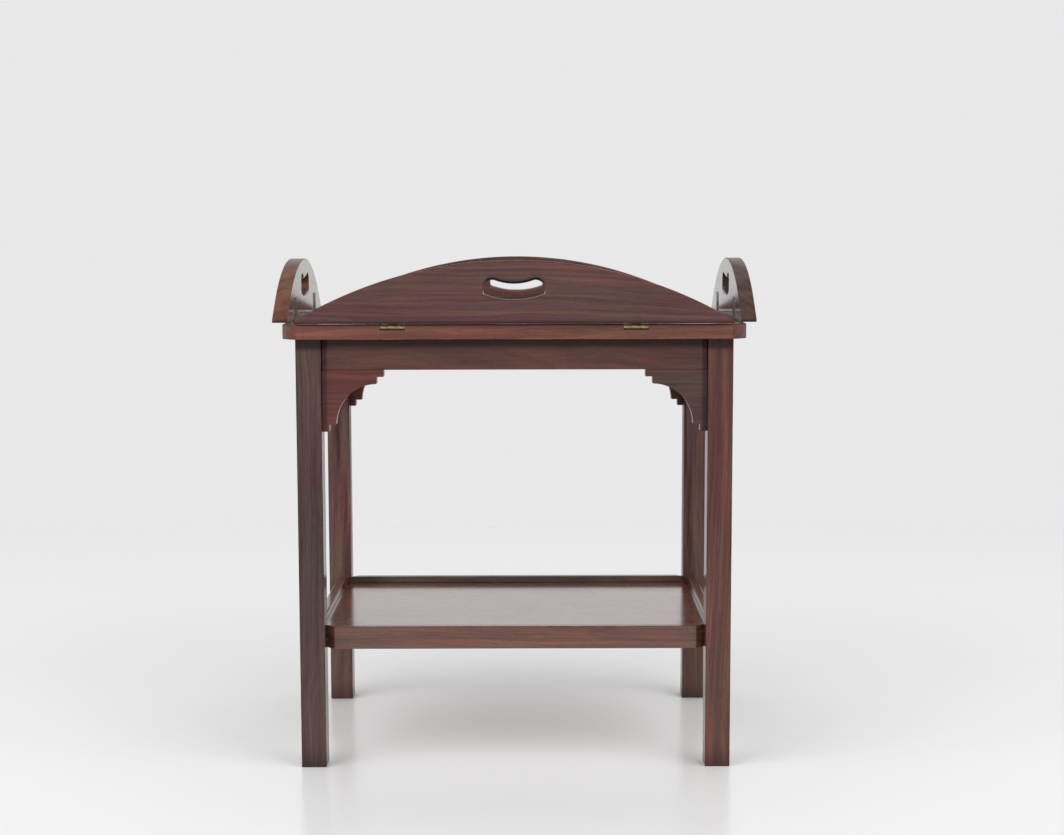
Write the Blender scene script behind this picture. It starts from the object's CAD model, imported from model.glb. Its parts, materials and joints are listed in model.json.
"""Builds the looks of a butler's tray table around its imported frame, in metres.

Every wooden piece is a new surface that is worked out with numpy and stands where its frame
node stands. The hinges, screws and glue blocks keep their frame meshes and get softened edges
and finishes. Run as a script, the file registers its settings and operators, calls the
operators in order and closes the frame.
"""

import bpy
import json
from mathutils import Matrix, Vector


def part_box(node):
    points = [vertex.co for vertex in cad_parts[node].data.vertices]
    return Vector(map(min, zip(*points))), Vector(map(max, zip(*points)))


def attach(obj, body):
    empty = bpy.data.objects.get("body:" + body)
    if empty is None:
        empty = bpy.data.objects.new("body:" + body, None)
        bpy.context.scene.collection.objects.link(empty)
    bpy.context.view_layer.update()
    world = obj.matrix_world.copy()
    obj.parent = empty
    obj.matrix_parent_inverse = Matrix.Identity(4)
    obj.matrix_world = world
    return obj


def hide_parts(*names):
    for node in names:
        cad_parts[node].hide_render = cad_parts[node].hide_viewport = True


bl_info = {
    "name": "Butler's Tray Table",
    "version": (1, 0, 0),
    "blender": (4, 5, 0),
    "location": "View3D > Sidebar > Tray Table",
    "description": "Builds a mahogany butler's tray table with hinged flaps around its frame",
    "category": "Add Mesh",
}

import json
import math

import bmesh
import bpy
import numpy as np
from bpy.props import FloatProperty, FloatVectorProperty, PointerProperty
from mathutils import Matrix, Vector

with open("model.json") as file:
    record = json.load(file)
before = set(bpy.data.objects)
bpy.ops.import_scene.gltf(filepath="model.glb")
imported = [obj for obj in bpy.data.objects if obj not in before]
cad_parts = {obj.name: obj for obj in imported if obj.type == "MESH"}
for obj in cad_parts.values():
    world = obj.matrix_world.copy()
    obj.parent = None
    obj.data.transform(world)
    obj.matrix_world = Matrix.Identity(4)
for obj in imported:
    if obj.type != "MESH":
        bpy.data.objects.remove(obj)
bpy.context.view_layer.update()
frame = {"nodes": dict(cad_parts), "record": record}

MM = 0.001
X, Y, Z = 0, 1, 2

# Each side of the table with the angle about Z that turns the front to it, and its two ends
SIDE_ANGLES = {"front": 0, "right": 90, "back": 180, "left": 270}
SIDE_ENDS = {"front": ("left", "right"), "back": ("left", "right"),
             "left": ("front", "back"), "right": ("front", "back")}
SIDE_PLACES = [(side, degrees, end) for side, degrees in SIDE_ANGLES.items()
               for end in SIDE_ENDS[side]]
CORNERS = [("front", "left"), ("front", "right"), ("back", "left"), ("back", "right")]

# First seed of the random draws of each kind of piece
SEEDS = {"leg": 11, "apron": 21, "bracket": 43, "shelf": 61, "rail": 71, "tray": 91, "cleat": 95,
         "flap": 127, "brass": 151, "steel": 152, "brown brass": 153, "pine": 161}

# Bands of dirt: millimetres before a face where one starts and where it is full, and strength
DIRT = {"foot": (-30, 0, 0.5), "leg top": (16, 9, 0.8), "apron top": (15, 6, 0.8),
        "apron end": (8, 5, 0.6), "bracket end": (8, 5, 0.5), "tray corner": (2, -2, 0.5),
        "flap foot": (-5, -1, 0.7)}

SKIN = 0.02 * MM            # how far some new surfaces lie inside their frame boxes
BEYOND = 1 * MM             # how far cutting shapes reach out of the wood
SHELF_EDGE = 0.4 * MM       # radius of the shelf panel's edges
GROOVE_PLAY = 0.05 * MM     # play of the shelf panel in the rails' groove
TRAY_ARC_ROUND = 4 * MM     # radius where a tray corner's curve meets the sides
BRACKET_EASE = 0.7          # radius of a bracket's edges, as a share of the arris
SAWN_WEAR = 0.8             # wear of the narrow sides of brackets and flaps
RIM_SIDE_WEAR = 0.9         # wear of a handle hole's rim at its sides
RIM_TOP_WEAR = -1.0         # the same at its top, which is dark
FRONT_FOOT_WEAR = -2.0      # the same at the bottom of the front hole, dark and dull
EYE_DROP = 4 * MM           # how far the eye of a flap's rings lies below the hole's middle
DIP_SPREAD = 1.1            # rise of the circle that dips into a hole, as a share of the dip
CROWN_FROM = 5 * MM         # height at which the rounds of a flap's side start to grow
CROWN_OVER = 12 * MM        # height over which they grow
LEAST_STEP = 0.5 * MM       # least distance between a flap's corners and its other points
SWEEP_STEPS = 1440          # directions in which the edge of a handle hole is worked out
FINE_STEPS = 6000           # steps round a flap that directions are looked up in
FLAP_STEPS = 220            # points round a flap besides its corners
RIM_RINGS = 9               # rings over half of a handle hole's rim
LAMP_PLACE = (1.9, -1.5, 2.3)
LAMP_AIM = (0, 0, 0.3)


def length(name, description, millimetres):
    """A length setting, given in millimetres and kept in metres."""
    return FloatProperty(name=name, description=description, default=millimetres * MM,
                         min=0.0, precision=5, unit="LENGTH", subtype="DISTANCE")


def tone(name, description, red, green, blue):
    """A colour setting."""
    return FloatVectorProperty(name=name, description=description, default=(red, green, blue),
                               min=0.0, max=1.0, size=3, subtype="COLOR")


def amount(name, description, value, highest=1.0):
    """A plain number setting."""
    return FloatProperty(name=name, description=description, default=value,
                         min=0.0, max=highest)


class TableShape(bpy.types.PropertyGroup):
    """Sizes of the edges and details that the frame's boxes don't give."""
    arris: length("Arris", "Radius of the eased edges of legs, aprons and brackets", 0.9)
    rail_round: length("Rail round", "Radius of the upper edges of the shelf rails", 1.4)
    tray_round: length("Tray round", "Radius of the tray board's upper edge", 2.5)
    tray_foot: length("Tray foot", "Radius of the tray board's lower edge", 1.2)
    tray_corner: length("Tray corner", "Length cut off each side at a corner of the tray", 17)
    corner_bulge: length("Corner bulge", "Rise of the tray corner's curve over its chord", 1.8)
    bracket_step: length("Bracket step", "Size of the small steps of a bracket", 8.4)
    flap_edge: length("Flap edge", "Radius of the edges round a flap's foot and tips", 0.7)
    flap_crown: length("Flap crown", "Radius of the edges along a flap's curve", 1.7)
    flap_tip: length("Flap tip", "Height of the blunt ends of a flap's curve", 3)
    hole_w: length("Hole width", "Width of a handle hole", 72)
    hole_h: length("Hole height", "Height of a handle hole", 22.5)
    hole_z: length("Hole place", "Height of a handle hole's middle above the flap's foot", 39.25)
    hole_dip: length("Hole dip", "How far the hole's upper edge dips in the middle", 4.5)
    hole_floor_r: length("Hole floor", "Radius of the hole's lower edge", 100)
    rim_top: length("Upper rim", "Width of the hole's rounded rim at the top", 6.5)
    rim_side: length("Side rim", "Width of the hole's rounded rim at the sides", 0.9)
    rim_foot: length("Lower rim", "Width of the hole's rounded rim at the bottom", 3.5)
    rim_front: length("Front lower rim", "The same width on the front flap", 1.2)
    leaf_t: length("Leaf thickness", "Thickness of the hinge leaves", 2.5)
    leaf_play: length("Leaf play", "Play round a leaf in its pocket", 0.2)
    cheek_room: length("Cheek room", "Room under the hinges' cheeks", 1.2)
    pocket_room: length("Pocket room", "Room under the springs", 0.5)
    spring_t: length("Spring thickness", "Thickness of the flat springs", 0.8)
    spring_w: length("Spring width", "Width of the flat springs", 10)
    brass_edge: length("Brass edge", "Width of the softened edges of the brass", 0.25)


class TableFinish(bpy.types.PropertyGroup):
    """Colours and polish."""
    leg_front_left: tone("Front left leg", "Its wood", 0.068, 0.034, 0.0325)
    leg_front_right: tone("Front right leg", "Its wood", 0.101, 0.036, 0.0295)
    leg_back_left: tone("Back left leg", "Its wood", 0.116, 0.049, 0.044)
    leg_back_right: tone("Back right leg", "Its wood", 0.096, 0.042, 0.034)
    apron: tone("Aprons", "Wood of the aprons", 0.073, 0.022, 0.0165)
    bracket_left: tone("Left brackets", "Wood of the left brackets", 0.097, 0.021, 0.016)
    bracket_right: tone("Right brackets", "Wood of the right brackets", 0.052, 0.0195, 0.0175)
    rail: tone("Rails", "Wood of the shelf rails", 0.127, 0.047, 0.033)
    rail_back: tone("Back rail", "Wood of the back shelf rail", 0.078, 0.047, 0.039)
    shelf: tone("Shelf", "Wood of the shelf panel", 0.130, 0.040, 0.026)
    tray: tone("Tray", "Wood of the tray board", 0.147, 0.043, 0.028)
    flap: tone("Front flap", "Wood of the front flap", 0.079, 0.0265, 0.0245)
    flap_back: tone("Back flap", "Wood of the back flap", 0.110, 0.048, 0.043)
    flap_left: tone("Left flap", "Wood of the left flap", 0.110, 0.041, 0.029)
    flap_right: tone("Right flap", "Wood of the right flap", 0.055, 0.026, 0.026)
    pine: tone("Pine", "Softwood of blocks and dowels", 0.50, 0.30, 0.13)
    brass: tone("Brass", "Clean brass", 0.66, 0.50, 0.22)
    tarnish: tone("Tarnish", "Tarnished brass", 0.16, 0.12, 0.06)
    brown_brass: tone("Brown brass", "Cleanest brass of the side flap leaves", 0.30, 0.26, 0.19)
    steel: tone("Steel", "Steel of screws and springs", 0.42, 0.42, 0.43)
    polish: amount("Polish", "Weight of the polish's clear coat", 1.0)
    polish_roughness: amount("Polish roughness", "Roughness of the clear coat", 0.13)


class TableStage(bpy.types.PropertyGroup):
    """Floor, lights and camera."""
    floor_half: length("Floor", "Half of the side of the square floor", 1566)
    floor_tone: tone("Floor colour", "Pale floor", 0.95, 0.955, 0.955)
    backdrop: amount("Backdrop", "Brightness of the backdrop", 0.81, 2.0)
    front: amount("Front", "Brightness that reflections see in front of the table", 0.50, 2.0)
    fill: amount("Fill", "Strength of the sky light that falls on the table", 0.78, 4.0)
    lamp_power: FloatProperty(name="Lamp power", description="Power of the soft lamps of a side",
                              default=35.0, min=0.0, unit="POWER")
    lamp_gleam: amount("Lamp gleam", "Share of the lamps' power that shows in reflections", 0.5)
    lamp_side: length("Lamp side", "Side of each square soft lamp", 2200)
    lens: FloatProperty(name="Lens", description="Focal length on a 36 mm wide sensor",
                        default=58.63, min=1.0)
    eye: FloatVectorProperty(name="Eye", description="Place of the camera",
                             default=(0.0177, -2.2109, 0.6379), subtype="TRANSLATION",
                             unit="LENGTH")
    pitch: FloatProperty(name="Pitch", description="How far the camera looks down",
                         default=0.1042, subtype="ANGLE")
    roll: FloatProperty(name="Roll", description="Roll of the camera", default=-0.0021,
                        subtype="ANGLE")
    yaw: FloatProperty(name="Yaw", description="Turn of the camera about Z", default=-0.0014,
                       subtype="ANGLE")


# ---- Places from the frame ----

def turned(points, degrees):
    """Turns an array of points about Z: (x, y) becomes (x cos - y sin, x sin + y cos)."""
    c = round(math.cos(math.radians(degrees)))
    s = round(math.sin(math.radians(degrees)))
    x, y, z = points[..., X], points[..., Y], points[..., Z]
    return np.stack([c * x - s * y, s * x + c * y, z], axis=-1)


def side_box(node, degrees=0):
    """Lowest and highest corner of a frame node, turned back to the front of the table."""
    corners = turned(np.array([tuple(corner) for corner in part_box(node)]), -degrees)
    return corners.min(axis=0), corners.max(axis=0)


def end_sign(low, high):
    """-1 for a box left of the middle of its side, 1 for one right of it."""
    return 1 if low[X] + high[X] > 0 else -1


def side_axis(side):
    """The axis that a side of the table runs along."""
    return X if side in ("front", "back") else Y


def at(x, y, z, degrees=0):
    """Points from arrays of their three values, turned about Z."""
    return turned(np.stack([x, y, z], axis=-1), degrees)


# ---- Surfaces ----

SUPPORT = 0.15 * MM         # distance of the points that keep smooth shading inside a rounding
SHARP_ANGLE = math.radians(38)
ARC_STEPS = 5


def unit(vectors):
    """Vectors divided by their lengths."""
    return vectors / np.maximum(np.linalg.norm(vectors, axis=-1, keepdims=True), 1e-12)


def arc(centre, radius, first, last, steps):
    """Points on a circle between two angles: centre + radius (cos, sin)."""
    angle = np.linspace(first, last, steps + 1)
    return np.array(centre) + radius * np.stack([np.cos(angle), np.sin(angle)], axis=1)


def soften(corners, radii, steps=ARC_STEPS):
    """Rounds the corners of a closed outline.

    A corner becomes an arc that touches both of its sides. Its centre lies one radius beside the
    first touching point, and the points between are the spherical blend of the two radii. One
    more point outside each touching point keeps the shading of the flat sides flat. A corner
    whose radius is 0 stays one point. Returns the points, anticlockwise, and their wear, which
    rises to 1 in the middle of each corner that stands out.
    """
    corners = np.asarray(corners, float)
    radii = np.broadcast_to(np.asarray(radii, float), len(corners)).copy()
    after = np.roll(corners, -1, axis=0)
    if np.sum(corners[:, 0] * after[:, 1] - corners[:, 1] * after[:, 0]) < 0:
        corners, radii = corners[::-1], radii[::-1]
    along = unit(corners - np.roll(corners, 1, axis=0))
    onward = np.roll(along, -1, axis=0)
    cross = along[:, 0] * onward[:, 1] - along[:, 1] * onward[:, 0]
    bend = np.abs(np.arctan2(cross, np.sum(along * onward, axis=1)))
    beside = np.sign(cross)[:, None] * np.stack([-along[:, 1], along[:, 0]], axis=1)
    reach = (radii * np.tan(bend / 2))[:, None]
    start, end = corners - along * reach, corners + onward * reach
    centre = start + beside * radii[:, None]
    share = np.linspace(0, 1, steps + 1)
    whole = np.maximum(np.sin(bend), 1e-9)[:, None]
    first = np.sin((1 - share) * bend[:, None]) / whole
    last = np.sin(share * bend[:, None]) / whole
    curve = (centre[:, None] + first[..., None] * (start - centre)[:, None]
             + last[..., None] * (end - centre)[:, None])
    points = np.concatenate([(start - along * SUPPORT)[:, None], curve,
                             (end + onward * SUPPORT)[:, None]], axis=1)
    wear = np.zeros(points.shape[:2])
    wear[:, 1:-1] = np.sin(math.pi * share) * (cross > 0)[:, None]
    plain = radii == 0
    points[plain, 0] = corners[plain]
    keep = np.ones(points.shape[:2], bool)
    keep[plain, 1:] = False
    return points[keep], wear[keep]


def mitres(outline):
    """Outward vectors that offset every side of an anticlockwise outline by a distance of 1.

    With n and m the normals of the two sides at a point, the vector is 2 (n + m) / |n + m|^2.
    """
    side = np.roll(outline, -1, axis=0) - outline
    normal = unit(np.stack([side[:, 1], -side[:, 0]], axis=1))
    total = normal + np.roll(normal, 1, axis=0)
    return 2 * total / np.sum(total * total, axis=1, keepdims=True)


def quarter(radius):
    """A quarter round from a face to the side: inset, depth, wear and share of side.

    At the angle t from 0 to 90 degrees the inset is r (1 - sin t) and the depth r (1 - cos t),
    with one more point on the face and one on the side.
    """
    angle = np.linspace(0, math.pi / 2, ARC_STEPS + 1)
    inset = np.concatenate([[radius + SUPPORT], radius * (1 - np.sin(angle)), [0]])
    depth = np.concatenate([[0], radius * (1 - np.cos(angle)), [radius + SUPPORT]])
    wear = np.concatenate([[0], np.sin(2 * angle), [0]])
    side = np.concatenate([[0], np.sin(angle), [1]])
    return np.stack([inset, depth, wear, side])


def board_section(thickness, low, high):
    """Section round the edge of a board: a quarter round, a straight side and another one."""
    foot, head = quarter(low), quarter(high)[:, ::-1]
    head[1] = thickness - head[1]
    return np.concatenate([foot, head], axis=1)


def placed(name, data):
    """A new object of the scene."""
    made = bpy.data.objects.new(name, data)
    bpy.context.scene.collection.objects.link(made)
    return made


def solid(name, points, wear, capped=True):
    """Makes an object from a grid of points that closes round its second index.

    The grid's first and last rows are filled, or joined to each other where it isn't capped.
    Faces are turned outwards by the sign of the volume that they hold. The wear of each point
    becomes the attribute wear.
    """
    rows, columns = points.shape[:2]
    index = np.arange(rows * columns).reshape(rows, columns)
    here = index[:-1] if capped else index
    above = index[1:] if capped else np.roll(index, -1, axis=0)
    quads = np.stack([here, np.roll(here, -1, axis=1), np.roll(above, -1, axis=1), above],
                     axis=-1).reshape(-1, 4)
    flat = points.reshape(-1, 3)
    a, b, c, d = (flat[quads[:, k]] - flat.mean(axis=0) for k in range(4))
    volume = np.sum(np.cross(b - a, c - a) * a) + np.sum(np.cross(c - a, d - a) * a)
    faces = quads.tolist()
    if capped:
        faces += [index[0, ::-1].tolist(), index[-1].tolist()]
    mesh = bpy.data.meshes.new(name)
    mesh.from_pydata(flat.tolist(), [], faces)
    if volume < 0:
        mesh.flip_normals()
    mesh.attributes.new("wear", "FLOAT", "POINT").data.foreach_set("value", wear.ravel())
    return smooth(placed(name, mesh))


def smooth(piece):
    """Shades a piece smoothly except at its sharp edges."""
    piece.data.validate()
    piece.data.shade_smooth()
    piece.data.set_sharp_from_angle(angle=SHARP_ANGLE)
    return piece


def prism(name, outline, section, place, side_wear=0.0):
    """Carries a board's section round an outline.

    The point (u, v) is outline(u) - mitre(u) inset(v), at the depth of v, and place turns its
    three values into a point of the frame. The straight side between the rounds gets the wear
    side_wear.
    """
    points, corner_wear = outline
    inset, depth, edge_wear, side = section
    plan = points[None] - mitres(points)[None] * inset[:, None, None]
    depths = np.broadcast_to(depth[:, None], plan.shape[:2])
    corner_wear = np.maximum(corner_wear, side_wear)
    wear = np.maximum(edge_wear[:, None], corner_wear[None] * side[:, None])
    return solid(name, place(plan[..., 0], plan[..., 1], depths), wear)


def rectangle(low, high):
    """Corners of an upright rectangle."""
    return [(low[0], low[1]), (high[0], low[1]), (high[0], high[1]), (low[0], high[1])]


def block(name, low, high, radius, degrees=0):
    """A box with eased edges, turned about Z."""
    outline = soften(rectangle(low, high), radius + 2 * SUPPORT)
    section = board_section(high[Z] - low[Z], radius, radius)
    return prism(name, outline, section, lambda x, y, depth: at(x, y, low[Z] + depth, degrees))


def cutter(profile, span, place):
    """A sharp-edged cutting shape: a profile carried over a span."""
    outline = (np.array(profile), np.zeros(len(profile)))
    section = np.array([[0.0, 0.0], [0.0, span], [0.0, 0.0], [0.0, 0.0]])
    return prism("pocket_tool", outline, section, place)


def combine(piece, tool, operation):
    """Applies an exact Boolean to a piece and removes the tool."""
    modifier = piece.modifiers.new(operation.title(), "BOOLEAN")
    modifier.operation = operation
    modifier.solver = "EXACT"
    modifier.object = tool
    graph = bpy.context.evaluated_depsgraph_get()
    made = bpy.data.meshes.new_from_object(piece.evaluated_get(graph))
    piece.modifiers.clear()
    if len(made.polygons) == 0:
        raise RuntimeError(f"the {operation} on {piece.name} left nothing")
    piece.data = made
    bpy.data.objects.remove(tool)
    return smooth(piece)


def joined(objects):
    """Joins separate solids into the first one."""
    shape = bmesh.new()
    for each in objects:
        shape.from_mesh(each.data)
    shape.to_mesh(objects[0].data)
    shape.free()
    for each in objects[1:]:
        bpy.data.objects.remove(each)
    return objects[0]


def frame_copy(node):
    """A copy of a frame node whose loose triangles are merged to a closed solid."""
    shape = bmesh.new()
    shape.from_mesh(frame["nodes"][node].data)
    bmesh.ops.remove_doubles(shape, verts=shape.verts, dist=1e-6)
    mesh = bpy.data.meshes.new(node + "_tool")
    shape.to_mesh(mesh)
    shape.free()
    return placed(node + "_tool", mesh)


# ---- Shader building ----

class Value:
    """A shader socket on which Python's arithmetic adds Math nodes."""

    def __init__(self, graph, socket):
        self.graph = graph
        self.socket = socket

    def _math(self, operation, first, second):
        return self.graph.node("ShaderNodeMath", {"operation": operation}, {0: first, 1: second})

    def __add__(self, other):
        return self._math("ADD", self, other)

    def __radd__(self, other):
        return self._math("ADD", other, self)

    def __sub__(self, other):
        return self._math("SUBTRACT", self, other)

    def __rsub__(self, other):
        return self._math("SUBTRACT", other, self)

    def __mul__(self, other):
        return self._math("MULTIPLY", self, other)

    def clamped(self):
        """The value kept between 0 and 1."""
        return self.graph.node("ShaderNodeClamp", {}, {"Value": self})

    def step(self, low, high):
        """0 below low, 1 above high and a smooth rise between them."""
        return self.graph.node("ShaderNodeMapRange", {"interpolation_type": "SMOOTHSTEP"},
                               {"Value": self, "From Min": low, "From Max": high})


class Graph:
    """The node tree of a new material or world."""

    def __init__(self, tree):
        self.tree = tree
        self.tree.nodes.clear()

    def node(self, kind, settings=None, sockets=None, output=0):
        """Adds a node, sets its settings, then the values or links of its sockets.

        The stops of a colour ramp are given as a list of places and colours. Returns the
        chosen output.
        """
        made = self.tree.nodes.new(kind)
        for name, value in (settings or {}).items():
            if name == "stops":
                self._ramp(made.color_ramp, value)
            else:
                setattr(made, name, value)
        for key, value in (sockets or {}).items():
            if isinstance(value, Value):
                self.tree.links.new(value.socket, made.inputs[key])
            else:
                made.inputs[key].default_value = value
        return Value(self, made.outputs[output]) if made.outputs else None

    def _ramp(self, ramp, stops):
        for _ in range(len(stops) - len(ramp.elements)):
            ramp.elements.new(1.0)
        for element, (place, colour) in zip(ramp.elements, stops):
            element.position = place
            element.color = (*colour, 1.0)

    def vector(self, operation, first, second):
        """A Vector Math node."""
        return self.node("ShaderNodeVectorMath", {"operation": operation},
                         {0: first, 1: second})

    def noise(self, place, scale, detail=2.0, roughness=0.5, output=0):
        """Noise on a place that is stretched by a scale for each axis, or by one for all."""
        stretched = self.vector("MULTIPLY", place, np.broadcast_to(scale, 3))
        return self.node("ShaderNodeTexNoise", {"noise_dimensions": "3D"},
                         {"Vector": stretched, "Scale": 1.0, "Detail": detail,
                          "Roughness": roughness}, output)

    def coordinate(self, kind="Object"):
        """A texture coordinate."""
        return self.node("ShaderNodeTexCoord", {}, {}, kind)

    def part(self, vector, axis):
        """One of the three values of a vector."""
        return self.node("ShaderNodeSeparateXYZ", {}, {0: vector}, axis)

    def reach(self, vector):
        """The length of a vector."""
        return self.node("ShaderNodeVectorMath", {"operation": "LENGTH"}, {0: vector}, "Value")

    def bump(self, height, distance):
        """A normal that follows a height."""
        return self.node("ShaderNodeBump", {}, {"Height": height, "Strength": 1.0,
                                                "Distance": distance})

    def blend(self, factor, first, second, mode="MIX"):
        """Mixes two colours."""
        return self.node("ShaderNodeMix", {"data_type": "RGBA", "blend_type": mode},
                         {0: factor, 6: first, 7: second}, 2)

    def wear(self):
        """How far a point lies in the middle of a rounded edge."""
        return self.node("ShaderNodeAttribute", {"attribute_name": "wear"}, {}, 2)

    def surface(self, sockets):
        """Closes a material with a Principled shader."""
        shader = self.node("ShaderNodeBsdfPrincipled", {}, sockets)
        self.node("ShaderNodeOutputMaterial", {}, {"Surface": shader})


def new_material(name):
    """A material with an empty node tree."""
    material = bpy.data.materials.new(name)
    material.use_nodes = True
    return material, Graph(material.node_tree)


def along(axis, with_grain, across):
    """A scale vector with one value along the grain and another across it."""
    scale = [across, across, across]
    scale[axis] = with_grain
    return scale


def tinted(base, *factors):
    """A colour of three channels, each multiplied by its factor and kept at 1 or less."""
    return tuple(min(1.0, channel * factor) for channel, factor in zip(base, factors))


def dirt_band(axis, face, band):
    """A band of dirt from DIRT, measured along an axis from a face."""
    start, full, strength = DIRT[band]
    return axis, face - start * MM, face - full * MM, strength


def mahogany(name, axis, seed, base, finish, dirt=(), under=0.1, dull=0.34, gloss=1.0):
    """Polished mahogany with its grain along one axis, as a solid pattern.

    Growth rings are noise on the distance from a tilted pith that lies outside the piece. Fine
    fibres, a ribbon stripe and slow drift are noise stretched along the grain, and pores are
    the peaks of a finer one. Patches turn from red to olive brown. The wear attribute dulls the
    arrises and lightens them where a slow noise is high. It darkens them where it is negative,
    and below -1 it also takes the polish away. Each band of dirt is an axis, a clean and a
    dirty distance from the middle along it, and the strength of the darkening and dulling
    that grow between them. The polish is a clear coat of the weight gloss over a base with
    the given specular level and roughness.
    """
    material, graph = new_material(name)
    draw = np.random.default_rng(seed)
    shift = draw.uniform(-3.0, 3.0, 3)
    tilt = draw.uniform(-0.035, 0.035, 3)
    plain = graph.coordinate()
    place = graph.node("ShaderNodeMapping", {}, {"Vector": plain, "Rotation": tilt})
    loose = graph.vector("ADD", place, shift)
    sway = graph.noise(loose, along(axis, 5.0, 16.0), output="Color")
    sway = graph.vector("MULTIPLY", graph.vector("SUBTRACT", sway, (0.5, 0.5, 0.5)),
                        along(axis, 0.0, 0.016))
    swayed = graph.vector("ADD", place, sway)
    pith = draw.uniform(0.10, 0.20, 3) * draw.choice([-1, 1], 3)
    pith[Z] += 0.35
    spoke = graph.vector("MULTIPLY", graph.vector("SUBTRACT", swayed, pith), along(axis, 0.0, 1.0))
    radius, grain = graph.reach(spoke), graph.part(loose, axis)
    band = graph.node("ShaderNodeCombineXYZ", {}, {0: radius * 230.0, 1: grain * 2.5})
    rings = graph.noise(band, 1.0, 2.0, 0.6)
    moved = graph.vector("ADD", swayed, shift)
    fibre = graph.noise(moved, along(axis, 14.0, 620.0), 3.0, 0.6)
    ribbon = graph.noise(moved, along(axis, 1.6, 85.0), 1.0)
    drift = graph.noise(loose, along(axis, 3.5, 22.0), 3.0, 0.55)
    pores = graph.noise(moved, along(axis, 110.0, 2100.0), 1.0).step(0.60, 0.72)
    figure = rings * 1.05 + fibre * 0.65 + ribbon * 0.50 + drift * 0.75 - 0.975
    stops = [(0.05, tinted(base, 0.42, 0.38, 0.45)), (0.36, tinted(base, 0.80, 0.74, 0.82)),
             (0.58, tinted(base, 1.12, 1.12, 1.06)), (0.95, tinted(base, 1.75, 1.90, 1.55))]
    wood = graph.node("ShaderNodeValToRGB", {"stops": stops}, {"Fac": figure})
    wood = graph.blend(pores * 0.55, wood, (*tinted(base, 0.30, 0.26, 0.30), 1.0))
    patch = graph.noise(loose, along(axis, 6.0, 34.0), 2.0).step(0.42, 0.62)
    wood = graph.blend(patch * 0.6, wood, (0.78, 1.12, 0.92, 1.0), "MULTIPLY")
    rub = graph.noise(loose, 38.0, 3.0).step(0.42, 0.66)
    bare = (*tinted(base, 2.3, 2.9, 2.2), 1.0)
    grimy = (*tinted(base, 0.22, 0.30, 0.40), 1.0)
    edge = graph.wear()
    worn = edge.clamped() * rub
    wood = graph.blend(worn * 0.45, wood, bare)
    grime = (edge * -1.0 - 1.0).clamped()
    away = graph.node("ShaderNodeVectorMath", {"operation": "ABSOLUTE"}, {0: plain})
    for way, clean, dirty, strength in dirt:
        grime = grime + graph.part(away, way).step(clean, dirty) * strength
    wood = graph.blend((grime + (edge * -1.0).clamped()).clamped(), wood, grimy)
    ripple = graph.noise(loose, 30.0, 2.0)
    peel = graph.noise(loose, 260.0, 1.0)
    height = ripple * 0.35 + peel * 0.035 + fibre * 0.05 - pores * 0.12
    smudge = graph.noise(loose, 17.0, 3.0)
    coat = (finish.polish - edge.clamped() - grime * 0.9 - pores * 0.2).clamped() * gloss
    graph.surface({"Base Color": wood, "Roughness": dull - 0.08 + smudge * 0.16 + pores * 0.25,
                   "Specular IOR Level": under, "Coat Roughness": finish.polish_roughness,
                   "Coat Weight": coat, "Coat IOR": 1.53,
                   "Normal": graph.bump(height, 0.1 * MM)})
    return material


def scattered(graph, seed):
    """The place on a piece, moved by a random distance."""
    shift = np.random.default_rng(seed).uniform(-3.0, 3.0, 3)
    return graph.vector("ADD", graph.coordinate(), shift)


def softwood(name, axis, seed, base):
    """Bare softwood: sharp late-wood lines from rings about a far pith, and fine fibres."""
    material, graph = new_material(name)
    loose = scattered(graph, seed)
    radius = graph.reach(graph.vector("MULTIPLY", loose, along(axis, 0.0, 1.0)))
    band = graph.node("ShaderNodeCombineXYZ", {}, {0: radius * 420.0})
    rings = graph.noise(band, 1.0, 1.0).step(0.40, 0.62)
    fibre = graph.noise(loose, along(axis, 20.0, 900.0), 2.0)
    tone_mix = rings * 0.7 + fibre * 0.5 - 0.1
    stops = [(0.0, tinted(base, 1.15, 1.15, 1.1)), (1.0, tinted(base, 0.62, 0.50, 0.42))]
    wood = graph.node("ShaderNodeValToRGB", {"stops": stops}, {"Fac": tone_mix})
    graph.surface({"Base Color": wood, "Roughness": 0.62 + fibre * 0.2,
                   "Normal": graph.bump(fibre + rings * 0.5, 0.06 * MM)})
    return material


def metal(name, clean, dull, seed, low, high):
    """Metal between a clean and a dull colour, with clouds of tarnish and fine scratches."""
    material, graph = new_material(name)
    loose = scattered(graph, seed)
    clouds = graph.noise(loose, 130.0, 4.0, 0.6)
    specks = graph.noise(loose, 900.0, 2.0)
    scratches = graph.noise(loose, (260.0, 2600.0, 2600.0), 1.0)
    bright = (clouds * 1.2 + specks * 0.5 + scratches * 0.4 - 0.55).clamped()
    colour = graph.blend(bright, (*dull, 1.0), (*clean, 1.0))
    graph.surface({"Base Color": colour, "Metallic": 0.72 + bright * 0.28,
                   "Roughness": high - bright * (high - low),
                   "Normal": graph.bump(specks * 0.5 + scratches, 0.03 * MM)})
    return material


# ---- Finishing pieces ----

def body_of(node):
    """The body that a frame node rides on."""
    bodies = frame["record"]["behaviour"]["bodies"]
    return next(body for body, nodes in bodies.items() if node in nodes)


def slot_of(node):
    """The record's material slot of a frame node."""
    return next(part["material_slot"] for part in frame["record"]["subparts"]
                if part["node"] == node)


def stand_for(piece, node, material):
    """Gives a new piece its material, body and slot, and hides the node that it stands for."""
    piece.data.materials.clear()
    piece.data.materials.append(material)
    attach(piece, body_of(node))
    slot_of(node)
    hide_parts(node)


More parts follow.
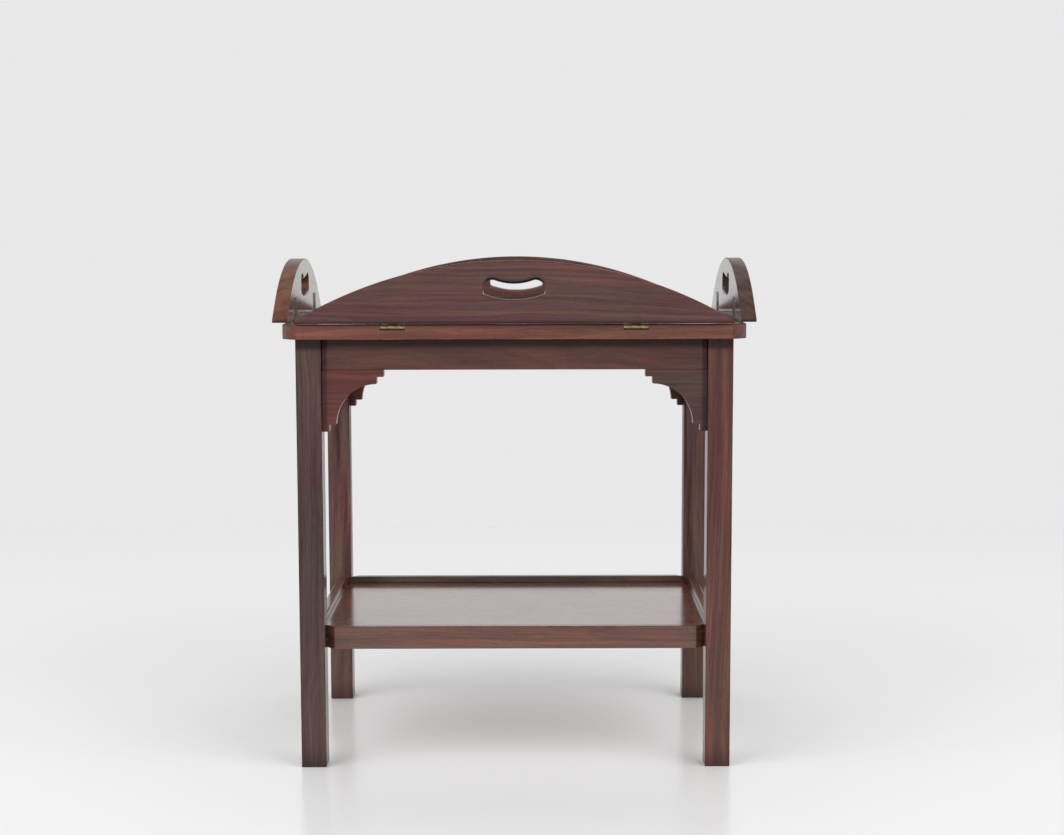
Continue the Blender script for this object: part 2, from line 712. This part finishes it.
def finish_node(node, material, edge=0.0):
    """Gives a frame node a material and, if asked, softened edges.

    The loose triangles are welded and flat faces dissolved before the bevel.
    """
    part = frame["nodes"][node]
    for material_slot in part.material_slots:
        material_slot.material = material
    if edge > 0:
        weld = part.modifiers.new("Weld", "WELD")
        weld.merge_threshold = 1e-6
        flat = part.modifiers.new("Flat faces", "DECIMATE")
        flat.decimate_type = "DISSOLVE"
        flat.angle_limit = math.radians(1)
        bevel = part.modifiers.new("Soft edges", "BEVEL")
        bevel.width = edge
        bevel.segments = 2
        bevel.limit_method = "ANGLE"
        bevel.angle_limit = SHARP_ANGLE
        bevel.harden_normals = True
        part.data.shade_smooth()


# ---- Operators ----

class TRAYTABLE_OT_legs(bpy.types.Operator):
    """Square legs, mortised for the aprons and housed for the shelf"""
    bl_idname = "traytable.legs"
    bl_label = "Legs"

    def execute(self, context):
        shape, finish = context.scene.table_shape, context.scene.table_finish
        for seed, (depth_end, side_end) in enumerate(CORNERS, SEEDS["leg"]):
            node = f"leg_{depth_end}_{side_end}"
            low, high = side_box(node)
            piece = block(node + "_wood", low + SKIN, high - SKIN, shape.arris)
            combine(piece, frame_copy(node), "INTERSECT")
            dirt = [dirt_band(Z, 0.0, "foot"), dirt_band(Z, high[Z], "leg top")]
            material = mahogany(node + "_mahogany", Z, seed, getattr(finish, node), finish, dirt,
                                gloss=0.5)
            stand_for(piece, node, material)
        return {"FINISHED"}


class TRAYTABLE_OT_aprons(bpy.types.Operator):
    """Aprons with a stub tenon at each end"""
    bl_idname = "traytable.aprons"
    bl_label = "Aprons"

    def execute(self, context):
        shape, finish = context.scene.table_shape, context.scene.table_finish
        for side, degrees in SIDE_ANGLES.items():
            node = "apron_" + side
            low, high = side_box(node, degrees)
            points = turned(np.array([v.co for v in frame["nodes"][node].data.vertices]), -degrees)
            tenon = points[points[:, X] > high[X] - SKIN]
            tenon_low, tenon_high = tenon.min(axis=0), tenon.max(axis=0)
            axis = side_axis(side)
            half = side_box("leg_back_right")[0][axis]
            body_low = np.array([-half, low[Y], low[Z]])
            body_high = np.array([half, high[Y], high[Z]])
            tenon_low[X] = -high[X]
            piece = block(node + "_wood", body_low + SKIN, body_high - SKIN, shape.arris, degrees)
            tool = block(node + "_tenons", tenon_low + SKIN, tenon_high - SKIN,
                         shape.arris / 2, degrees)
            combine(piece, tool, "UNION")
            dirt = [dirt_band(Z, high[Z], "apron top"), dirt_band(axis, half, "apron end")]
            material = mahogany(node + "_mahogany", axis, SEEDS["apron"] + degrees, finish.apron,
                                finish, dirt)
            stand_for(piece, node, material)
        return {"FINISHED"}


def bracket_corners(size, step):
    """Outline of a bracket with its corner at the origin, x along the apron, z down the leg.

    Two square steps stand at each end of a quarter circle whose radius is the size less three
    steps and whose centre is one step in from the bracket's outer corner. Returns the corners
    and a mask that is 0 on the points of the circle.
    """
    inner = size - step
    radius = size - 3 * step
    curve = arc((inner, -inner), radius, math.pi / 2, math.pi, 36)
    before = [(0, 0), (size, 0), (size, -step), (inner, -step)]
    after = [(step, -inner), (step, -size), (0, -size)]
    corners = np.concatenate([before, curve, after])
    rounded = np.ones(len(corners))
    rounded[len(before) + 1:len(before) + len(curve) - 1] = 0
    return corners, rounded


class TRAYTABLE_OT_brackets(bpy.types.Operator):
    """Stepped corner brackets under the aprons"""
    bl_idname = "traytable.brackets"
    bl_label = "Brackets"

    def execute(self, context):
        shape, finish = context.scene.table_shape, context.scene.table_finish
        radius = shape.arris * BRACKET_EASE
        for seed, (side, degrees, end) in enumerate(SIDE_PLACES, SEEDS["bracket"]):
            node = f"bracket_{side}_{end}"
            low, high = side_box(node, degrees)
            sign = end_sign(low, high)
            corner_x = high[X] if sign > 0 else low[X]
            corners, rounded = bracket_corners(high[X] - low[X], shape.bracket_step)
            outline = soften(corners, rounded * (radius + 2 * SUPPORT))
            section = board_section(high[Y] - low[Y], radius, radius)
            piece = prism(node + "_wood", outline, section,
                          lambda x, z, depth: at(corner_x - sign * x, low[Y] + depth,
                                                 high[Z] + z, degrees), SAWN_WEAR)
            axis = side_axis(side)
            base = finish.bracket_right if "right" in node else finish.bracket_left
            material = mahogany(node + "_mahogany", axis, seed, base, finish,
                                [dirt_band(axis, abs(corner_x), "bracket end")])
            stand_for(piece, node, material)
        return {"FINISHED"}


class TRAYTABLE_OT_shelf(bpy.types.Operator):
    """Shelf panel, and rails round it whose ends are cut at 45 degrees for the legs"""
    bl_idname = "traytable.shelf"
    bl_label = "Shelf"

    def execute(self, context):
        finish = context.scene.table_finish
        self.panel(finish)
        for side in SIDE_ANGLES:
            self.rail(side, context.scene.table_shape, finish)
        return {"FINISHED"}

    def panel(self, finish):
        """The panel is an octagon whose corners lie on the line of the rails' cut ends."""
        low, high = side_box("shelf_panel")
        rail_high = side_box("shelf_rail_front")[1]
        reach = rail_high[X] - rail_high[Y]
        x, y = high[X], high[Y]
        corners = [(reach - y, -y), (x, x - reach), (x, reach - x), (reach - y, y),
                   (y - reach, y), (-x, reach - x), (-x, x - reach), (y - reach, -y)]
        outline = soften(corners, SHELF_EDGE + 2 * SUPPORT)
        section = board_section(high[Z] - low[Z], SHELF_EDGE, SHELF_EDGE)
        piece = prism("shelf_panel_wood", outline, section,
                      lambda a, b, depth: at(a, b, low[Z] + depth))
        material = mahogany("shelf_mahogany", X, SEEDS["shelf"], finish.shelf, finish, under=0.5,
                            dull=0.20)
        stand_for(piece, "shelf_panel", material)

    def rail(self, side, shape, finish):
        """A rail's profile with its groove, carried along x.

        A point at the height h of its length H goes to x = e(y) (2 h / H - 1), where the end
        e(y) lies on the line of the 45 degree cut.
        """
        degrees = SIDE_ANGLES[side]
        node = "shelf_rail_" + side
        low, high = side_box(node, degrees)
        panel_low, panel_high = side_box("shelf_panel", degrees)
        reach = high[X] - high[Y]
        groove = panel_low[Y]
        play = GROOVE_PLAY
        profile = [(low[Y], low[Z]), (high[Y], low[Z]),
                   (high[Y], panel_low[Z] - play), (groove - play, panel_low[Z] - play),
                   (groove - play, panel_high[Z] + play), (high[Y], panel_high[Z] + play),
                   (high[Y], high[Z]), (low[Y], high[Z])]
        top, foot, inside = shape.rail_round, shape.arris, shape.arris / 2 + 2 * SUPPORT
        outline = soften(profile, [foot, foot, inside, 0, 0, inside, top, top])
        middle = 2 * reach + low[Y] + high[Y]
        section = board_section(middle, shape.arris / 2, shape.arris / 2)
        piece = prism(node + "_wood", outline, section,
                      lambda y, z, depth: at((reach + y) * (2 * depth / middle - 1), y, z, degrees))
        base = finish.rail_back if side == "back" else finish.rail
        material = mahogany(node + "_mahogany", side_axis(side), SEEDS["rail"] + degrees, base,
                            finish)
        stand_for(piece, node, material)


def tray_corners(width, depth, corner, bulge, steps=12):
    """Outline of the tray: a rectangle whose corners are cut to shallow curves.

    Each curve runs over a chord across the corner and rises over it by the bulge, so its
    radius is (half chord squared + bulge squared) / (2 bulge). Returns the corners and a mask
    that is 0 on the points inside the curves.
    """
    half_chord = corner * math.sqrt(2) / 2
    radius = (half_chord ** 2 + bulge ** 2) / (2 * bulge)
    half_angle = math.asin(half_chord / radius)
    back = (corner / 2) + (radius - bulge) / math.sqrt(2)
    curves = []
    for number, (sx, sy) in enumerate([(1, -1), (1, 1), (-1, 1), (-1, -1)]):
        aim = math.radians(-45 + 90 * number)
        centre = (sx * (width / 2 - back), sy * (depth / 2 - back))
        curves.append(arc(centre, radius, aim - half_angle, aim + half_angle, steps))
    rounded = np.zeros((len(curves), steps + 1))
    rounded[:, [0, -1]] = 1
    return np.concatenate(curves), rounded.ravel()


class TRAYTABLE_OT_tray(bpy.types.Operator):
    """Tray board with its hinge pockets, and the cleats under it"""
    bl_idname = "traytable.tray"
    bl_label = "Tray"

    def execute(self, context):
        shape, finish = context.scene.table_shape, context.scene.table_finish
        low, high = side_box("tray_board")
        corners, rounded = tray_corners(high[X] - low[X], high[Y] - low[Y],
                                        shape.tray_corner, shape.corner_bulge)
        outline = soften(corners, rounded * TRAY_ARC_ROUND)
        section = board_section(high[Z] - low[Z], shape.tray_foot, shape.tray_round)
        rubbed = (section[1] > high[Z] - low[Z] - shape.tray_round) & (section[3] < 0.99)
        section[2, rubbed] = np.sqrt(1 - section[3, rubbed] ** 2)
        section[2, -1] = 0
        board = prism("tray_board_wood", outline, section,
                      lambda x, y, depth: at(x, y, low[Z] + depth))
        combine(board, joined(self.leaf_tools(shape)), "DIFFERENCE")
        combine(board, joined(self.spring_tools(shape)), "DIFFERENCE")
        material = mahogany("tray_mahogany", X, SEEDS["tray"], finish.tray, finish,
                            [dirt_band(X, high[X] - shape.tray_corner, "tray corner")])
        stand_for(board, "tray_board", material)
        for seed, end in enumerate(("front", "back"), SEEDS["cleat"]):
            node = "tray_cleat_" + end
            piece = block(node + "_wood", *side_box(node), shape.arris)
            material = mahogany(node + "_mahogany", X, seed, finish.apron, finish)
            stand_for(piece, node, material)
        return {"FINISHED"}

    def leaf_tools(self, shape):
        """Shapes of the leaf pockets: a shallow plate, deeper where cheeks and knuckle turn."""
        tools = []
        for side, degrees, end in SIDE_PLACES:
            low, high = side_box(f"tray_leaf_{side}_{end}", degrees)
            pin_depth = (high[Z] - low[Z]) / 2
            deep = low[Y] + 2 * pin_depth + shape.leaf_play
            profile = [(low[Y] - BEYOND, low[Z] - shape.cheek_room),
                       (deep, low[Z] - shape.cheek_room), (deep, high[Z] - shape.leaf_t),
                       (high[Y] + shape.leaf_play, high[Z] - shape.leaf_t),
                       (high[Y] + shape.leaf_play, high[Z] + BEYOND),
                       (low[Y] - BEYOND, high[Z] + BEYOND)]
            tools.append(self.along_pin(low, high, shape.leaf_play, profile, degrees))
        return tools

    def spring_tools(self, shape):
        """Shapes of the slots for the flat springs under the leaves."""
        tools = []
        for side, degrees, end in SIDE_PLACES:
            low, high = side_box(f"tray_leaf_{side}_{end}", degrees)
            slot_low = (low[Y] + (high[Z] - low[Z]) / 2,
                        high[Z] - shape.leaf_t - shape.spring_t - shape.pocket_room)
            slot_high = (high[Y] - 3 * shape.pocket_room, high[Z] - shape.leaf_t + BEYOND)
            inset = (high[X] - low[X] - shape.spring_w) / 2
            tools.append(self.along_pin(low, high, shape.leaf_play - inset,
                                        rectangle(slot_low, slot_high), degrees))
        return tools

    def along_pin(self, low, high, play, profile, degrees):
        """A profile in y and z, carried along the pin from one side of the leaf to the other."""
        return cutter(profile, high[X] - low[X] + 2 * play,
                      lambda y, z, depth: at(low[X] - play + depth, y, z, degrees))


def hole_radius(angle, eye, end_x, end_r, dip_z, dip_r, floor_r):
    """Distance from the eye to the edge of the handle hole in each direction.

    The hole is a slot with round ends inside a larger circle that touches its lower edge, less
    another large circle that dips into its upper edge. A ray leaves the slot by its straight
    sides or by an end circle, leaves the larger circle at -e dz + sqrt(r^2 - (e dx)^2), with e
    the eye's height over that circle's centre, and meets the dipping circle before that near
    the middle. The smallest distance counts, blended where two of them meet.
    """
    dx, dz = np.cos(angle), np.sin(angle)
    wall = np.where(dz > 0, end_r - eye, -end_r - eye) / np.where(dz == 0, 1e-9, dz)
    past = np.sign(dx) * end_x
    along_ray = -past * dx + eye * dz
    end = -along_ray + np.sqrt(np.maximum(along_ray ** 2 - past ** 2 - eye ** 2 + end_r ** 2, 0))
    slot = np.where(np.abs(wall * dx) <= end_x, wall, end)
    drop = eye - dip_z
    inside = (drop * dz) ** 2 - drop ** 2 + dip_r ** 2
    dip = np.where((inside > 0) & (dz > 0), -drop * dz - np.sqrt(np.maximum(inside, 0)), 1.0)
    over = eye - (floor_r - end_r)
    bowl = -over * dz + np.sqrt(floor_r ** 2 - (over * dx) ** 2)
    soft = 0.35 * MM
    return -soft * np.log(np.exp(-slot / soft) + np.exp(-dip / soft) + np.exp(-bowl / soft))


def polar(points, centre, angle):
    """Points of a star-shaped closed curve in the given directions from its centre."""
    arms = points - centre
    bearing = np.arctan2(arms[:, 1], arms[:, 0])
    reach = np.interp(angle, bearing, np.linalg.norm(arms, axis=1), period=2 * math.pi)
    return centre + reach[:, None] * np.stack([np.cos(angle), np.sin(angle)], axis=1)


class TRAYTABLE_OT_flaps(bpy.types.Operator):
    """Flaps with an arched top and a handle hole"""
    bl_idname = "traytable.flaps"
    bl_label = "Flaps"

    def execute(self, context):
        shape, finish = context.scene.table_shape, context.scene.table_finish
        for side, degrees in SIDE_ANGLES.items():
            node = "flap_" + side
            low, high = side_box(node, degrees)
            front = side == "front"
            piece = self.flap(node + "_wood", low, high, degrees, shape,
                              shape.rim_front if front else shape.rim_foot,
                              FRONT_FOOT_WEAR if front else 0.0)
            combine(piece, joined(self.pockets(side, degrees, high, shape)), "DIFFERENCE")
            base = getattr(finish, node, finish.flap)
            material = mahogany(node + "_mahogany", side_axis(side), SEEDS["flap"] + degrees, base,
                                finish, [dirt_band(Z, low[Z], "flap foot")])
            stand_for(piece, node, material)
        return {"FINISHED"}

    def outline(self, chord, height, shape):
        """A flat foot, blunt tips and one circular curve, from the foot's middle round."""
        rise = height - shape.flap_tip
        radius = ((chord / 2) ** 2 + rise ** 2) / (2 * rise)
        half_angle = math.asin(chord / 2 / radius)
        curve = arc((0, height - radius), radius, math.pi / 2 - half_angle,
                    math.pi / 2 + half_angle, 150)
        corners = np.concatenate([[(-chord / 2, 0), (chord / 2, 0)], curve])
        rounded = np.zeros(len(corners))
        rounded[[0, 1, 2, -1]] = 1
        soft = shape.flap_edge + 2 * SUPPORT
        return soften(corners, rounded * soft)

    def flap(self, name, low, high, degrees, shape, rim_foot, foot_wear):
        """A closed surface round the hole, whose rim has its own width and wear at the bottom.

        Round the flap, the points lie in the same directions from an eye a little below the
        hole's middle on every ring. Across it, the rings run from the hole's narrowest line at
        mid thickness over a quarter ellipse to the face, out to the edge round, over the
        outer side and back on the other face. The ellipse is as wide as the rim, which is
        widest at the top of the hole.
        """
        outer, corner_wear = self.outline(high[X] - low[X], high[Z] - low[Z], shape)
        end_r = shape.hole_h / 2
        end_x = shape.hole_w / 2 - end_r
        rise = DIP_SPREAD * shape.hole_dip
        dip_r = (end_x ** 2 + rise ** 2) / (2 * rise)
        dip_z = end_r - shape.hole_dip + dip_r
        eye = -EYE_DROP
        centre = np.array([0.0, shape.hole_z + eye])
        sweep = np.linspace(-math.pi, math.pi, SWEEP_STEPS, endpoint=False)
        reach = hole_radius(sweep, eye, end_x, end_r, dip_z, dip_r, shape.hole_floor_r)
        crest = centre + reach[:, None] * np.stack([np.cos(sweep), np.sin(sweep)], axis=1)
        outward = unit(mitres(crest))
        highness, lowness = np.maximum(outward[:, 1], 0), np.maximum(-outward[:, 1], 0)
        width = (shape.rim_side + (shape.rim_top - shape.rim_side) * highness
                 + (rim_foot - shape.rim_side) * lowness)
        rim = width[:, None] * outward

        loop = np.concatenate([outer, outer[:1]])
        knots = np.concatenate([[0], np.cumsum(np.linalg.norm(np.diff(loop, axis=0), axis=1))])
        fine = np.unique(np.concatenate([knots, np.linspace(0, knots[-1], FINE_STEPS)]))
        fine_x, fine_z = np.interp(fine, knots, loop[:, 0]), np.interp(fine, knots, loop[:, 1])
        bearing = np.unwrap(np.arctan2(fine_z - centre[1], fine_x - centre[0]))
        step = np.linalg.norm(crest + rim - np.roll(crest + rim, 1, axis=0), axis=1)
        share = np.cumsum(step) / np.sum(step)
        around = np.interp(np.linspace(0, 1, FLAP_STEPS, endpoint=False), share, sweep)
        turns = bearing[0] + np.mod(around - bearing[0], 2 * math.pi)
        extra = np.interp(turns, bearing, fine)
        clear = np.abs(extra[:, None] - knots).min(axis=1) > LEAST_STEP
        stops = np.sort(np.concatenate([knots[:-1], extra[clear]]))
        edge = np.stack([np.interp(stops, knots, loop[:, 0]), np.interp(stops, knots, loop[:, 1])],
                        axis=1)
        edge_wear = np.interp(stops, knots, np.append(corner_wear, corner_wear[0]))
        angle = np.arctan2(edge[:, 1] - centre[1], edge[:, 0] - centre[0])

        thickness = high[Y] - low[Y]
        lean = np.linspace(0, math.pi / 2, RIM_RINGS)
        rings = [polar(crest + rim * (1 - math.cos(t)), centre, angle) for t in lean]
        depths = [thickness / 2 * (1 - math.sin(t)) for t in lean]
        upward = np.interp(angle, sweep, highness, period=2 * math.pi)
        downward = np.interp(angle, sweep, lowness, period=2 * math.pi)
        rim_wear = (RIM_SIDE_WEAR - (RIM_SIDE_WEAR - RIM_TOP_WEAR) * upward
                    - (RIM_SIDE_WEAR - foot_wear) * downward)
        wears = [rim_wear * min(1.0, 4 * math.cos(t)) for t in lean]
        rings.append(polar(crest + rim + outward * 2 * SUPPORT, centre, angle))
        depths.append(0.0)
        wears.append(np.zeros(len(edge)))
        outer_rings, outer_depths, outer_wears = self.rim_outside(edge, edge_wear, thickness, shape)
        wide = np.ones(len(edge))
        loops = np.concatenate([rings, outer_rings, rings[:0:-1]])
        depths = np.array(depths)[:, None] * wide
        heights = np.concatenate([depths, outer_depths, thickness - depths[:0:-1]])
        wear = np.concatenate([wears, outer_wears, wears[:0:-1]])
        points = np.stack([loops[..., 0], low[Y] + heights, low[Z] + loops[..., 1]], axis=-1)
        return solid(name, turned(points, degrees), wear, capped=False)

    def rim_outside(self, edge, edge_wear, thickness, shape):
        """Rings over the flap's outer side, whose rounds grow from the foot up to the crown."""
        crown = shape.flap_crown / shape.flap_edge
        grow = 1 + (crown - 1) * np.clip((edge[:, 1] - CROWN_FROM) / CROWN_OVER, 0, 1)
        inset, depth, ring_wear, side = quarter(shape.flap_edge)
        offset = mitres(edge)
        face = edge[None] - offset[None] * (inset[:, None] * grow)[..., None]
        deep = depth[:, None] * grow
        worn = np.maximum(np.maximum(ring_wear, SAWN_WEAR * side)[:, None],
                          edge_wear * side[:, None])
        return (np.concatenate([face, face[::-1]]), np.concatenate([deep, thickness - deep[::-1]]),
                np.concatenate([worn, worn[::-1]]))

    def pockets(self, side, degrees, flap_high, shape):
        """Pockets for the leaves in the flap's inner face, open at its foot."""
        tools = []
        foot = side_box("flap_" + side, degrees)[0][Z]
        for end in SIDE_ENDS[side]:
            low, high = side_box(f"flap_leaf_{side}_{end}", degrees)
            pocket_low = [low[X] - shape.leaf_play, flap_high[Y] - shape.leaf_t, foot - BEYOND]
            pocket_high = [high[X] + shape.leaf_play, flap_high[Y] + BEYOND,
                           high[Z] + shape.leaf_play]
            tools.append(cutter(rectangle(pocket_low, pocket_high), pocket_high[Z] - pocket_low[Z],
                                lambda x, y, depth: at(x, y, pocket_low[Z] + depth, degrees)))
        return tools


class TRAYTABLE_OT_metal(bpy.types.Operator):
    """Brass hinges and screws, steel screws and springs"""
    bl_idname = "traytable.metal"
    bl_label = "Metal"

    def execute(self, context):
        shape, finish = context.scene.table_shape, context.scene.table_finish
        brass = metal("aged_brass", finish.brass, finish.tarnish, SEEDS["brass"], 0.28, 0.55)
        brown = metal("brown_brass", finish.brown_brass, tinted(finish.tarnish, 0.4, 0.4, 0.5),
                      SEEDS["brown brass"], 0.35, 0.5)
        steel = metal("dull_steel", finish.steel, tinted(finish.steel, 0.5, 0.48, 0.45),
                      SEEDS["steel"], 0.3, 0.5)
        for side, ends in SIDE_ENDS.items():
            for end in ends:
                finish_node(f"tray_leaf_{side}_{end}", brass, shape.brass_edge)
                finish_node(f"flap_leaf_{side}_{end}", brass if side == "front" else brown,
                            shape.brass_edge)
            finish_node("flap_screws_" + side, brass if side == "front" else brown)
        for node in ("tray_leaf_screws", "hinge_pins"):
            finish_node(node, brass)
        for node in ("corner_block_screws", "cleat_screws", "hinge_springs"):
            finish_node(node, steel)
        return {"FINISHED"}


class TRAYTABLE_OT_softwood(bpy.types.Operator):
    """Glue blocks and dowels"""
    bl_idname = "traytable.softwood"
    bl_label = "Glue blocks and dowels"

    def execute(self, context):
        shape, finish = context.scene.table_shape, context.scene.table_finish
        pine = softwood("pine", Z, SEEDS["pine"], finish.pine)
        finish_node("corner_blocks", pine, shape.arris / 2)
        finish_node("shelf_dowels", pine)
        return {"FINISHED"}


class TRAYTABLE_OT_stage(bpy.types.Operator):
    """Pale floor, white surroundings, two soft lamps and the camera"""
    bl_idname = "traytable.stage"
    bl_label = "Stage"

    def execute(self, context):
        stage = context.scene.table_stage
        self.floor(stage)
        self.surroundings(context, stage)
        for side in (-1, 1):
            self.lamp(stage, side, stage.lamp_power * stage.lamp_gleam, True)
            self.lamp(stage, side, stage.lamp_power * (1 - stage.lamp_gleam), False)
        self.camera(context, stage)
        context.scene.view_settings.view_transform = "Standard"
        return {"FINISHED"}

    def floor(self, stage):
        """A square plate under the table's feet."""
        half = stage.floor_half
        mesh = bpy.data.meshes.new("floor")
        mesh.from_pydata([(-half, -half, 0), (half, -half, 0), (half, half, 0), (-half, half, 0)],
                         [], [(0, 1, 2, 3)])
        material, graph = new_material("pale_floor")
        graph.surface({"Base Color": (*stage.floor_tone, 1.0), "Roughness": 0.24,
                       "Specular IOR Level": 0.25, "Coat Weight": 0.2, "Coat Roughness": 0.12})
        mesh.materials.append(material)
        floor = placed("floor", mesh)

    def surroundings(self, context, stage):
        """White where the camera and reflections see it, and a softer light on the table.

        Reflections see a darker room in front of the table and above it. The light is
        strongest at the horizon: with h the height of a direction, it is fill (2.2 - 2 h).
        """
        world = bpy.data.worlds.new("surroundings")
        context.scene.world = world
        world.use_nodes = True
        graph = Graph(world.node_tree)
        direction = graph.coordinate("Generated")
        depth = graph.part(direction, Y)
        height = graph.part(direction, Z).clamped()
        dim = ((depth * -1.0).step(0.1, 0.9) + height.step(0.3, 0.8)).clamped()
        rays = graph.node("ShaderNodeLightPath", {}, {}, "Is Camera Ray")
        outputs = rays.socket.node.outputs
        glossy = Value(graph, outputs["Is Glossy Ray"])
        seen = (rays + glossy + Value(graph, outputs["Is Transmission Ray"])).clamped()
        seen_strength = stage.backdrop - dim * glossy * (stage.backdrop - stage.front)
        white = (1.0, 1.0, 1.0, 1.0)
        light = graph.node("ShaderNodeBackground", {}, {"Color": white,
                                                        "Strength": (2.2 - height * 2.0)
                                                        * stage.fill})
        shown = graph.node("ShaderNodeBackground", {}, {"Color": white,
                                                        "Strength": seen_strength})
        mixed = graph.node("ShaderNodeMixShader", {}, {0: seen, 1: light, 2: shown})
        graph.node("ShaderNodeOutputWorld", {}, {"Surface": mixed})

    def lamp(self, stage, side, power, gleams):
        """A broad soft lamp above the front, left or right, with or without a reflection."""
        data = bpy.data.lights.new("soft_lamp", "AREA")
        data.shape = "SQUARE"
        data.size = stage.lamp_side
        data.energy = power
        lamp = placed("soft_lamp", data)
        lamp.visible_glossy = gleams
        place = Vector(LAMP_PLACE)
        place.x *= side
        lamp.location = place
        lamp.rotation_euler = (place - Vector(LAMP_AIM)).to_track_quat("Z", "Y").to_euler()

    def camera(self, context, stage):
        """A camera that is turned by its yaw, tilted down by its pitch and rolled."""
        data = bpy.data.cameras.new("camera")
        data.sensor_width = 36.0
        data.lens = stage.lens
        camera = placed("camera", data)
        turn = (Matrix.Rotation(stage.yaw, 3, "Z") @ Matrix.Rotation(math.pi / 2 - stage.pitch, 3, "X")
                @ Matrix.Rotation(stage.roll, 3, "Z"))
        camera.location = stage.eye
        camera.rotation_euler = turn.to_euler()
        context.scene.camera = camera


class TRAYTABLE_PT_panel(bpy.types.Panel):
    """Lists the operators and settings in the 3D view's sidebar."""
    bl_label = "Tray Table"
    bl_idname = "TRAYTABLE_PT_panel"
    bl_space_type = "VIEW_3D"
    bl_region_type = "UI"
    bl_category = "Tray Table"

    def draw(self, context):
        for operator in OPERATORS:
            self.layout.operator(operator.bl_idname)
        for name in SETTINGS:
            group = getattr(context.scene, name)
            box = self.layout.box()
            for setting in group.__annotations__:
                box.prop(group, setting)


OPERATORS = (TRAYTABLE_OT_stage, TRAYTABLE_OT_legs, TRAYTABLE_OT_aprons, TRAYTABLE_OT_brackets,
             TRAYTABLE_OT_shelf, TRAYTABLE_OT_tray, TRAYTABLE_OT_flaps, TRAYTABLE_OT_metal,
             TRAYTABLE_OT_softwood)
SETTINGS = {"table_shape": TableShape, "table_finish": TableFinish, "table_stage": TableStage}
CLASSES = (*SETTINGS.values(), *OPERATORS, TRAYTABLE_PT_panel)


def register():
    for each in CLASSES:
        bpy.utils.register_class(each)
    for name, group in SETTINGS.items():
        setattr(bpy.types.Scene, name, PointerProperty(type=group))


def unregister():
    for name in SETTINGS:
        delattr(bpy.types.Scene, name)
    for each in reversed(CLASSES):
        bpy.utils.unregister_class(each)


def main():
    """Builds everything."""
    register()
    for operator in OPERATORS:
        group, name = operator.bl_idname.split(".")
        getattr(getattr(bpy.ops, group), name)()


if __name__ == "__main__":
    main()
